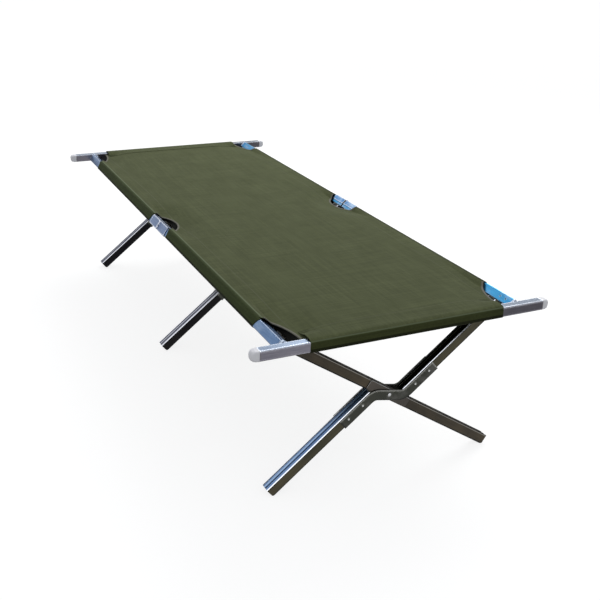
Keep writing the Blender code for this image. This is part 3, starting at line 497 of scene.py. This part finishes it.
def olive_cloth(name, light, dark, stitches, fold, edges):
    """Woven olive fabric with a row of stitches, a painted highlight along a fold that is painted shade
    at the right side, and painted shade inside the sleeves and towards its lower edges.

    The row is an axis letter with its distance from the middle, the fold two of them,
    and each edge one with the side of it that is in painted shade and the tone there.
    """
    material, tree, shader = new_material(name)
    split = split_axes(tree, coordinates(tree))
    axes = {letter: math_node(tree, "ABSOLUTE", split[letter]) for letter in "XYZ"}
    weave = weave_height(tree, split)
    slubs_x = noise(tree, 60.0, 3.0, (0.08, 5.0, 5.0))
    slubs_y = noise(tree, 60.0, 3.0, (5.0, 0.08, 5.0))
    slubs = math_node(tree, "MULTIPLY", math_node(tree, "ADD", slubs_x, slubs_y), 0.5)
    color = woven_tone(tree, weave, slubs, light, dark)
    # Painted highlight along the fold, and painted shade on the fold at the right side
    fold_light = PAINTED_FOLD_HIGHLIGHT
    if fold[0][0] == "Y":
        at_right = math_node(tree, "GREATER_THAN", split["Y"], 0.0)
        fold_light = mix_color(tree, at_right, PAINTED_FOLD_HIGHLIGHT, PAINTED_FOLD_SHADE)
    color = mix_color(tree, fold_mask(tree, axes, fold), color, fold_light)
    # Painted shade on the faces inside the side sleeves
    inside = node(tree, "ShaderNodeAttribute", attribute_name="inside")
    color = mix_color(tree, inside.outputs["Fac"], color, PAINTED_INSIDE_SHADE)
    # Painted shade towards the lower edges
    for axis, place, sign, tone in edges:
        beyond = math_node(tree, "SUBTRACT", axes[axis], place)
        beyond = math_node(tree, "MULTIPLY", beyond, sign * CENTIMETRES)
        shaded = ramp(tree, beyond, ((0.0, grey(1.0)), (0.18, tone)))
        color = multiply_color(tree, color, shaded)
    row = stitch_mask(tree, split, axes, *stitches)
    color = mix_color(tree, row, color, THREAD_TONE)
    tree.links.new(color, shader.inputs["Base Color"])
    shader.inputs["Roughness"].default_value = 0.88
    shader.inputs["Sheen Weight"].default_value = 0.04
    shader.inputs["Sheen Roughness"].default_value = 0.5
    shader.inputs["Specular IOR Level"].default_value = 0.10
    normal = bump(tree, weave, 0.35, 0.00018)
    normal = bump(tree, slubs, 0.25, 0.0004, normal)
    normal = bump(tree, row, 0.6, 0.0004, normal)
    tree.links.new(normal, shader.inputs["Normal"])
    return material


def hem_tape():
    """Woven binding tape with fine ribs."""
    material, tree, shader = new_material("hem_tape")
    ribs = noise(tree, 900.0, 2.0)
    color = ramp(tree, ribs, ((0.3, (0.100, 0.096, 0.070)), (0.7, (0.185, 0.178, 0.140))))
    tree.links.new(color, shader.inputs["Base Color"])
    shader.inputs["Roughness"].default_value = 0.85
    tree.links.new(bump(tree, ribs, 0.4, 0.0002), shader.inputs["Normal"])
    return material


def fillet(points, radius, steps=4):
    """Polyline with each inner corner rounded."""
    result = [points[0]]
    for before, corner, after in zip(points, points[1:], points[2:]):
        one = before - corner
        two = after - corner
        cut = min(radius, one.length * 0.45, two.length * 0.45)
        start = corner + one.normalized() * cut
        stop = corner + two.normalized() * cut
        for step in range(steps + 1):
            t = step / steps
            result.append(start * (1 - t) ** 2 + corner * 2 * t * (1 - t) + stop * t * t)
    result.append(points[-1])
    return result


def resample(points, spacing):
    result = [points[0]]
    for one, two in zip(points, points[1:]):
        count = max(1, int(math.ceil((two - one).length / spacing)))
        for step in range(1, count + 1):
            result.append(one.lerp(two, step / count))
    return result


def sleeve_path(hand):
    """From the seam under the panel, round the rail, to its top, as (y, z)."""
    out, up = leg_directions(hand)
    offset = 0.0 if hand < 0.0 else LEG_OFFSET
    center = PIVOT + out * LEG_REACH - up * offset
    half = RAIL / 2.0 + GAP + CLOTH / 2.0
    return [
        Vector((hand * (SIDE_STITCH_Y - SIDE_SEAM), LINING_Z)),
        Vector((hand * SIDE_STITCH_Y, LINING_Z)),
        center - out * half - up * half,
        center + out * half - up * half,
        center + out * half + up * half,
    ]


def cross_section():
    """The panel's middle surface across the bed, from seam to seam, as (y, z)."""
    top = PANEL_TOP - CLOTH / 2.0
    across = [Vector((-FLAT_HALF_Y, top)), Vector((FLAT_HALF_Y, top))]
    points = sleeve_path(-1.0) + across + sleeve_path(1.0)[::-1]
    return resample(fillet(points, SIDE_CORNER_RADIUS), SIDE_SPACING)


def sag(x, y, z):
    """How far the panel's top layer hangs between the rails and the end bars."""
    if z < PANEL_TOP - 0.004 or abs(y) > FLAT_HALF_Y:
        return 0.0
    across = max(0.0, 1.0 - (y / FLAT_HALF_Y) ** 2)
    along = max(0.0, 1.0 - (abs(x) / SAG_HALF_X) ** 4)
    return SAG_DEPTH * across * along


def ease(value):
    """0 to 1, slow at both ends."""
    value = min(1.0, max(0.0, value))
    return value * value * (3.0 - 2.0 * value)


def droop(x, y):
    """How far the free edges of the cut-outs, and the fabric beside them, hang below the rest."""
    held = ease((HELD_Y - abs(y)) / HELD_WIDTH)
    deepest = 0.0
    for (center_x, length, reach), depth in ((CORNER_CUT, CORNER_DROOP), (MID_CUT, MID_DROOP)):
        ratio = math.hypot((abs(x) - center_x) / length, (CUT_Y - abs(y)) / reach)
        beyond = max(0.0, ratio - 1.0) / DROOP_SPREAD
        deepest = max(deepest, depth * math.exp(-(beyond**2)))
    return held * deepest


def new_piece(name, mesh):
    """Put a finished mesh in the scene, and free the working copy."""
    data = bpy.data.meshes.new(name)
    mesh.to_mesh(data)
    mesh.free()
    item = bpy.data.objects.new(name, data)
    bpy.context.scene.collection.objects.link(item)
    return item


def bake(item):
    """Apply every modifier."""
    bpy.context.view_layer.update()
    graph = bpy.context.evaluated_depsgraph_get()
    data = bpy.data.meshes.new_from_object(item.evaluated_get(graph))
    item.modifiers.clear()
    item.data = data


def shell(name, rows):
    """Grid of points, one list per row, given the cloth's thickness."""
    mesh = bmesh.new()
    grid = [[mesh.verts.new(point) for point in row] for row in rows]
    for first, second in zip(grid, grid[1:]):
        for a, b, c, d in zip(first, first[1:], second[1:], second):
            mesh.faces.new((a, b, c, d))
    bmesh.ops.recalc_face_normals(mesh, faces=mesh.faces)
    item = new_piece(name, mesh)
    thick = item.modifiers.new("thickness", "SOLIDIFY")
    thick.thickness = CLOTH
    thick.offset = 0.0
    thick.use_even_offset = True
    bake(item)
    return item


def prism(name, outline, low, high):
    """Closed solid over an outline in the plane of the bed."""
    mesh = bmesh.new()
    base = [mesh.verts.new((x, y, low)) for x, y in outline]
    face = mesh.faces.new(base)
    grown = bmesh.ops.extrude_face_region(mesh, geom=[face])
    moved = [v for v in grown["geom"] if isinstance(v, bmesh.types.BMVert)]
    bmesh.ops.translate(mesh, verts=moved, vec=(0.0, 0.0, high - low))
    bmesh.ops.recalc_face_normals(mesh, faces=mesh.faces)
    return new_piece(name, mesh)


def ellipse(center, radii, steps=96):
    turns = [2.0 * math.pi * (step + 0.5) / steps for step in range(steps)]
    return [(center[0] + radii[0] * math.cos(t), center[1] + radii[1] * math.sin(t)) for t in turns]


def subtract(item, tools):
    for tool in tools:
        cut = item.modifiers.new(tool.name, "BOOLEAN")
        cut.operation = "DIFFERENCE"
        cut.solver = "EXACT"
        cut.object = tool
    bake(item)
    for tool in tools:
        bpy.data.objects.remove(tool, do_unlink=True)


def finish_cloth(item, material, angle=35.0):
    """One material all over, and soft shading up to an angle in degrees."""
    item.data.materials.clear()
    item.data.materials.append(material)
    item.data.shade_smooth()
    item.data.set_sharp_from_angle(angle=math.radians(angle))


def mark_inside(panel):
    """Mark the faces that line the side sleeves, for the material's painted shade there."""
    inside = panel.data.attributes.new("inside", "FLOAT", "FACE")
    for face in panel.data.polygons:
        reach = abs(face.center.y)
        lower = face.normal.z > 0.1 and face.center.z < INSIDE_TOP
        inside.data[face.index].value = float(lower and INSIDE_START_Y < reach < INSIDE_END_Y)


def saddle_slots(end, hand):
    """Slots in the side sleeves, where the saddles reach the rails."""
    low, high = sorted((hand * SLOT_Y[0], hand * SLOT_Y[1]))
    slots = []
    for x in sorted(pair_x for pair_x in PAIR_X if pair_x * end > 0.0):
        left, right = x - SLOT_HALF_X, x + SLOT_HALF_X
        outline = [(left, low), (right, low), (right, high), (left, high)]
        slots.append(prism("slot_tool", outline, *SLOT_Z))
    return slots


def cut_out_tools(end, hand):
    """The cut-outs go further in through the top layer than through the sleeve below it."""
    tools = []
    for center_x, length, reach in ((end * CORNER_CUT[0], *CORNER_CUT[1:]), MID_CUT):
        center = (center_x, hand * CUT_Y)
        top_outline = ellipse(center, (length, reach))
        under_outline = ellipse(center, (length, UNDER_REACH))
        tools.append(prism("top_tool", top_outline, UNDER_TOP, CUT_HIGH_Z))
        tools.append(prism("under_tool", under_outline, CUT_LOW_Z, UNDER_TOP + HAIR))
    return tools


def make_panel(half, end, cloth):
    """One half of the bed's sheet, with its sleeves round both rails."""
    section = cross_section()
    rows = []
    for step in range(PANEL_STEPS + 1):
        x = end * PANEL_END_X * step / PANEL_STEPS
        rows.append([Vector((x, p.x, p.y - sag(x, p.x, p.y))) for p in section])
    panel = shell("bed_panel_" + half, rows)
    slots = []
    tools = []
    for hand in (-1.0, 1.0):
        slots += saddle_slots(end, hand)
        tools += cut_out_tools(end, hand)
    # The slots come first: after the ellipses, the exact solver leaves nothing of the near panel
    subtract(panel, slots + tools)
    mark_inside(panel)
    for vertex in panel.data.vertices:
        vertex.co.z -= droop(vertex.co.x, vertex.co.y)
    finish_cloth(panel, cloth)
    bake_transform(panel)
    return panel


def make_end_sleeve(half, end, cloth):
    """Sleeve of fabric round an end bar, sewn down on the panel."""
    low = BAR_TOP - BAR_HEIGHT - GAP - CLOTH / 2.0
    inner = HALF_LENGTH - BAR_DEPTH - GAP - CLOTH / 2.0
    outer = HALF_LENGTH + GAP + CLOTH / 2.0
    top = PANEL_TOP + CLOTH / 2.0 + HAIR
    path = [
        Vector((END_STITCH_X - END_SEAM, top)),
        Vector((HALF_LENGTH - 0.012, top)),
        Vector((outer - 0.0015, BAR_TOP + GAP + CLOTH / 2.0)),
        Vector((outer, low)),
        Vector((inner, low)),
        Vector((END_STITCH_X + 0.012, LINING_Z)),
        Vector((END_STITCH_X - END_SEAM, LINING_Z)),
    ]
    path = resample(fillet(path, END_CORNER_RADIUS), END_SPACING)
    rows = []
    for step in range(SLEEVE_STEPS + 1):
        y = SLEEVE_END_Y * (2.0 * step / SLEEVE_STEPS - 1.0)
        rows.append([Vector((end * p.x, y, p.y)) for p in path])
    sleeve = shell("end_sleeve_" + half, rows)
    for vertex in sleeve.data.vertices:
        x, y, z = vertex.co
        held_x, width = OVER_FREE_X if z > PANEL_TOP - CLOTH / 2.0 else UNDER_FREE_X
        vertex.co.z = z - ease((held_x - abs(x)) / width) * droop(x, y)
    finish_cloth(sleeve, cloth)
    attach(sleeve, half + "_bar")
    return sleeve


def hem_arc(center_x, length, reach, hand, low_x, high_x):
    """Points with outward directions along the top edge of one cut-out, in the plane of the panel."""
    result = []
    for step in range(HEM_STEPS + 1):
        turn = math.pi * step / HEM_STEPS
        x = center_x + length * math.cos(turn)
        y = hand * (CUT_Y - reach * math.sin(turn))
        if low_x <= x <= high_x and abs(y) <= HEM_END_Y:
            out = Vector((math.cos(turn) / length, -hand * math.sin(turn) / reach)).normalized()
            result.append((Vector((x, y)), out))
    return result


def add_hem(mesh, arc):
    """Sweep the tape's section along an arc, with closed ends."""
    base = PANEL_TOP - CLOTH - HAIR
    rings = []
    for place, out in arc:
        ring = []
        for aside, high in HEM_SECTION:
            at = place + out * aside
            z = base + high - sag(at.x, at.y, PANEL_TOP) - droop(at.x, at.y)
            ring.append(mesh.verts.new((at.x, at.y, z)))
        rings.append(ring)
    for first, second in zip(rings, rings[1:]):
        for index in range(len(HEM_SECTION)):
            after = (index + 1) % len(HEM_SECTION)
            mesh.faces.new((first[index], first[after], second[after], second[index]))
    mesh.faces.new(rings[0])
    mesh.faces.new(rings[-1])


def make_hem(half, end, tape):
    """Binding tape round the cut-outs of one half."""
    mesh = bmesh.new()
    limit = HALF_LENGTH - BAR_DEPTH - 0.001
    near, far = sorted((end * 0.001, end * limit))
    for hand in (-1.0, 1.0):
        add_hem(mesh, hem_arc(end * CORNER_CUT[0], *CORNER_CUT[1:], hand, near, far))
        add_hem(mesh, hem_arc(*MID_CUT, hand, near, far))
    bmesh.ops.recalc_face_normals(mesh, faces=mesh.faces)
    hem = new_piece("cutout_hem_" + half, mesh)
    finish_cloth(hem, tape, 50.0)
    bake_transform(hem)
    return hem


def paint(starts, material):
    """Give a finish to every solid of the frame whose name starts with one of these."""
    for name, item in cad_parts.items():
        if name.startswith(starts):
            item.data.materials.clear()
            item.data.materials.append(material)


def bracket_rivets():
    """The rivets of the offset brackets, as (y, z) with the radius of their heads."""
    out, up = leg_directions(1.0)
    result = []
    for side in (-1.0, 1.0):
        for distance in RIVET_DISTANCES:
            place = PIVOT + out * distance * side - up * LEG_OFFSET * side
            result.append(((place.x, place.y), RIVET_RADIUS))
    return result


def paint_bars_and_rails():
    # The metal's blues are painted reflection of the sky, with painted highlights and shade at the
    # edges; the end bars get painted shade towards +Y
    paint(("end_bar_", "hinge_pin_"), metal(
        "end_bar_painted_reflection",
        side=(0.180, 0.174, 0.202),
        top=(0.19, 0.24, 0.32),
        painted_rims=(PAINTED_HIGHLIGHT, (0.60, 0.60, 0.68), (0.13, 0.12, 0.13)),
        roughness=0.30,
        grain=ALONG_BAR,
        edge=0.0064,
        right=0.42,
    ))
    paint(("end_fitting_",), metal(
        "end_fitting_painted_reflection",
        side=(0.52, 0.58, 0.68),
        top=(0.52, 0.62, 0.76),
        painted_rims=(PAINTED_HIGHLIGHT, PAINTED_HIGHLIGHT, (0.3, 0.3, 0.34)),
        roughness=0.26,
    ))
    paint(("rail_a_",), metal(
        "left_rail_painted_reflection",
        side=(0.13, 0.16, 0.24),
        top=(0.11, 0.19, 0.34),
        painted_rims=(PAINTED_HIGHLIGHT, PAINTED_HIGHLIGHT, (0.04, 0.05, 0.08)),
        roughness=0.30,
        wear_and_reflection=(0.22, 0.31, 0.45),
    ))
    paint(("rail_b_",), metal(
        "right_rail_painted_reflection",
        side=(0.10, 0.20, 0.36),
        top=(0.06, 0.32, 0.61),
        painted_rims=((0.62, 0.84, 0.98), PAINTED_HIGHLIGHT, (0.03, 0.05, 0.09)),
        roughness=0.30,
        wear_and_reflection=(0.34, 0.46, 0.68),
    ))
    paint(("hinge_leaf_a_",), metal(
        "left_hinge_painted_reflection",
        side=(0.15, 0.18, 0.27),
        top=(0.13, 0.19, 0.33),
        painted_rims=(PAINTED_HIGHLIGHT, PAINTED_HIGHLIGHT, (0.05, 0.06, 0.08)),
        roughness=0.28,
        edge=0.0055,
    ))
    paint(("hinge_leaf_b_",), metal(
        "right_hinge_painted_reflection",
        side=(0.12, 0.22, 0.38),
        top=(0.12, 0.30, 0.60),
        painted_rims=(PAINTED_HIGHLIGHT, PAINTED_HIGHLIGHT, (0.03, 0.05, 0.09)),
        roughness=0.28,
        edge=0.0055,
        wear_and_reflection=(0.50, 0.66, 0.86),
    ))


def paint_legs():
    """The legs behind the near pair stand in the bed's shade in the photo, and have darker sides painted
    as that shade; all tops and edge lines are painted reflection, highlight and shade.
    """
    olive = (0.060, 0.056, 0.038)
    # Painted shade for the sides of the legs further back
    shaded = (0.012, 0.012, 0.013)
    # A painted highlight along the groove of the upper legs
    groove_highlight = (0.30, 0.30, 0.31)
    paint(("leg_a_",), leg_metal(
        "straight_leg_brown", -1.0, 0.0,
        side=(0.086, 0.071, 0.050),
        top=PAINTED_SHADE,
        lines=(PAINTED_SHADE, (0.34, 0.32, 0.29), PAINTED_SHADE),
        groove=PAINTED_SHADE,
    ))
    paint(("leg_b_lower_near",), leg_metal(
        "lower_leg_brown", 1.0, LEG_OFFSET,
        side=olive,
        top=(0.15, 0.25, 0.46),
        lines=(PAINTED_HIGHLIGHT, PAINTED_SHADE, PAINTED_SHADE),
        groove=(0.42, 0.56, 0.72),
    ))
    paint(("leg_b_upper_near",), leg_metal(
        "upper_leg_brown", 1.0, -LEG_OFFSET,
        side=olive,
        top=PAINTED_SHADE_LEG_TOP,
        lines=(PAINTED_HIGHLIGHT, PAINTED_SHADE, PAINTED_SHADE),
        groove=groove_highlight,
    ))
    paint(("leg_b_lower_mid", "leg_b_lower_far"), leg_metal(
        "lower_leg_painted_shade", 1.0, LEG_OFFSET,
        side=shaded,
        top=(0.28, 0.30, 0.37),
        lines=((0.86, 0.88, 0.96), PAINTED_SHADE, PAINTED_SHADE),
        groove=(0.60, 0.60, 0.68),
    ))
    paint(("leg_b_upper_mid", "leg_b_upper_far"), leg_metal(
        "upper_leg_painted_shade", 1.0, -LEG_OFFSET,
        side=shaded,
        top=PAINTED_SHADE_LEG_TOP,
        lines=(PAINTED_HIGHLIGHT, PAINTED_SHADE, PAINTED_SHADE),
        groove=groove_highlight,
    ))


def paint_small_parts():
    # Tops in painted shade, with painted highlights and shade at the edges
    paint(("offset_bracket_",), metal(
        "bracket_olive",
        side=(0.044, 0.046, 0.038),
        top=PAINTED_SHADE_TOP,
        painted_rims=((0.16, 0.16, 0.15), (0.34, 0.34, 0.32), PAINTED_SHADE),
        roughness=0.36,
        edge=0.0075,
        rivets=bracket_rivets(),
        wear_and_reflection=(0.078, 0.078, 0.072),
    ))
    paint(("pivot_plate_", "saddle_"), metal(
        "pivot_plate_brown",
        side=(0.072, 0.064, 0.056),
        top=PAINTED_SHADE_TOP,
        painted_rims=((0.16, 0.16, 0.15), (0.30, 0.30, 0.30), PAINTED_SHADE),
        roughness=0.36,
        edge=0.0035,
    ))
    paint(("pivot_rivet_",), metal(
        "rivet_bright",
        side=(0.50, 0.50, 0.50),
        top=(0.60, 0.60, 0.60),
        painted_rims=(PAINTED_HIGHLIGHT, PAINTED_HIGHLIGHT, (0.2, 0.2, 0.2)),
        roughness=0.28,
    ))
    paint(("end_cap_",), cap_plastic())


def make_fabric():
    """Two halves of the sheet, with an end sleeve and binding tape each."""
    cloth = olive_cloth(
        "olive_woven_fabric",
        light=(0.107, 0.122, 0.055),
        dark=(0.088, 0.101, 0.043),
        stitches=("Y", SIDE_STITCH_Y),
        # The fold gets a painted highlight, and the outer band and lower line painted shade
        fold=(("Y", 0.3183), ("Z", 0.4545)),
        edges=(("Y", 0.3195, 1.0, (0.52, 0.60, 0.46)), ("Y", 0.3378, 1.0, (0.16, 0.16, 0.15))),
    )
    sleeve_cloth = olive_cloth(
        "olive_sleeve_fabric",
        light=(0.105, 0.120, 0.054),
        dark=(0.087, 0.100, 0.043),
        stitches=("X", END_STITCH_X),
        # The fold gets a painted highlight, and the lower front painted shade
        fold=(("X", 0.9505), ("Z", 0.4510)),
        edges=(("Z", 0.4498, -1.0, (0.54, 0.56, 0.42)), ("Z", 0.4330, -1.0, (0.30, 0.30, 0.28))),
    )
    tape = hem_tape()
    for half, end in (("near", 1.0), ("far", -1.0)):
        panel = make_panel(half, end, cloth)
        sleeve = make_end_sleeve(half, end, sleeve_cloth)
        hem = make_hem(half, end, tape)
    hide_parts("fabric_bed")


def seen_directly(tree):
    """1 for rays from the camera and for those that mirror or pass the scene, else 0."""
    path = node(tree, "ShaderNodeLightPath")
    seen = math_node(tree, "MAXIMUM", path.outputs["Is Camera Ray"], path.outputs["Is Glossy Ray"])
    return math_node(tree, "MAXIMUM", seen, path.outputs["Is Transmission Ray"])


def make_floor():
    """Plain pale floor that looks white and keeps the bed's shadow."""
    mesh = bmesh.new()
    bmesh.ops.create_grid(mesh, x_segments=8, y_segments=8, size=FLOOR_HALF)
    item = new_piece("floor", mesh)
    material, tree, shader = new_material("floor_pale")
    shader.inputs["Base Color"].default_value = (*grey(FLOOR_GREY), 1.0)
    shader.inputs["Roughness"].default_value = 0.9
    glow = node(tree, "ShaderNodeEmission")
    glow.inputs["Color"].default_value = (1.0, 1.0, 1.0, 1.0)
    tree.links.new(math_node(tree, "MULTIPLY", seen_directly(tree), FLOOR_GLOW), glow.inputs["Strength"])
    both = node(tree, "ShaderNodeAddShader")
    tree.links.new(shader.outputs[0], both.inputs[0])
    tree.links.new(glow.outputs[0], both.inputs[1])
    tree.links.new(both.outputs[0], tree.nodes["Material Output"].inputs["Surface"])
    item.data.materials.append(material)


def area_light(name, place, target, size, power):
    light = bpy.data.lights.new(name, "AREA")
    light.shape = "RECTANGLE"
    light.size, light.size_y = size
    light.energy = power
    item = bpy.data.objects.new(name, light)
    item.location = place
    item.rotation_euler = (Vector(target) - Vector(place)).to_track_quat("-Z", "Y").to_euler()
    bpy.context.scene.collection.objects.link(item)


def make_world():
    """Soft light from all round, and white where it is seen."""
    world = bpy.data.worlds.new("studio")
    world.use_nodes = True
    tree = world.node_tree
    direct = seen_directly(tree)
    background = tree.nodes["Background"]
    color = mix_color(tree, direct, (0.93, 0.96, 1.0), (1.0, 1.0, 1.0))
    tree.links.new(color, background.inputs["Color"])
    strength = math_node(tree, "MULTIPLY_ADD", direct, 1.0 - AMBIENT, AMBIENT)
    tree.links.new(strength, background.inputs["Strength"])
    bpy.context.scene.world = world


def make_camera():
    """The camera that was fitted to the edges of the bed in the photo."""
    right = Vector((math.cos(CAMERA_AZIMUTH), math.sin(CAMERA_AZIMUTH), 0.0))
    back = Vector((
        math.sin(CAMERA_AZIMUTH) * math.cos(CAMERA_ELEVATION),
        -math.cos(CAMERA_AZIMUTH) * math.cos(CAMERA_ELEVATION),
        math.sin(CAMERA_ELEVATION),
    ))
    up = back.cross(right)
    turned_right = right * math.cos(CAMERA_ROLL) + up * math.sin(CAMERA_ROLL)
    turned_up = up * math.cos(CAMERA_ROLL) - right * math.sin(CAMERA_ROLL)
    camera = bpy.data.cameras.new("camera")
    camera.lens = FOCAL_PIXELS / IMAGE_PIXELS * SENSOR_WIDTH
    camera.sensor_width = SENSOR_WIDTH
    item = bpy.data.objects.new("camera", camera)
    rotation = Matrix((turned_right, turned_up, back)).transposed().to_4x4()
    item.matrix_world = Matrix.Translation(CAMERA_PLACE) @ rotation
    bpy.context.scene.collection.objects.link(item)
    bpy.context.scene.camera = item


def main():
    bpy.context.scene.view_settings.view_transform = "Standard"
    make_camera()
    make_world()
    make_floor()
    area_light("key", (-1.6, 1.9, 3.0), (0.0, 0.0, 0.3), (2.2, 2.2), 62.0)
    area_light("fill", (3.2, -1.6, 2.0), (0.2, 0.0, 0.3), (2.0, 2.0), 9.0)
    paint_bars_and_rails()
    paint_legs()
    paint_small_parts()
    make_fabric()


main()
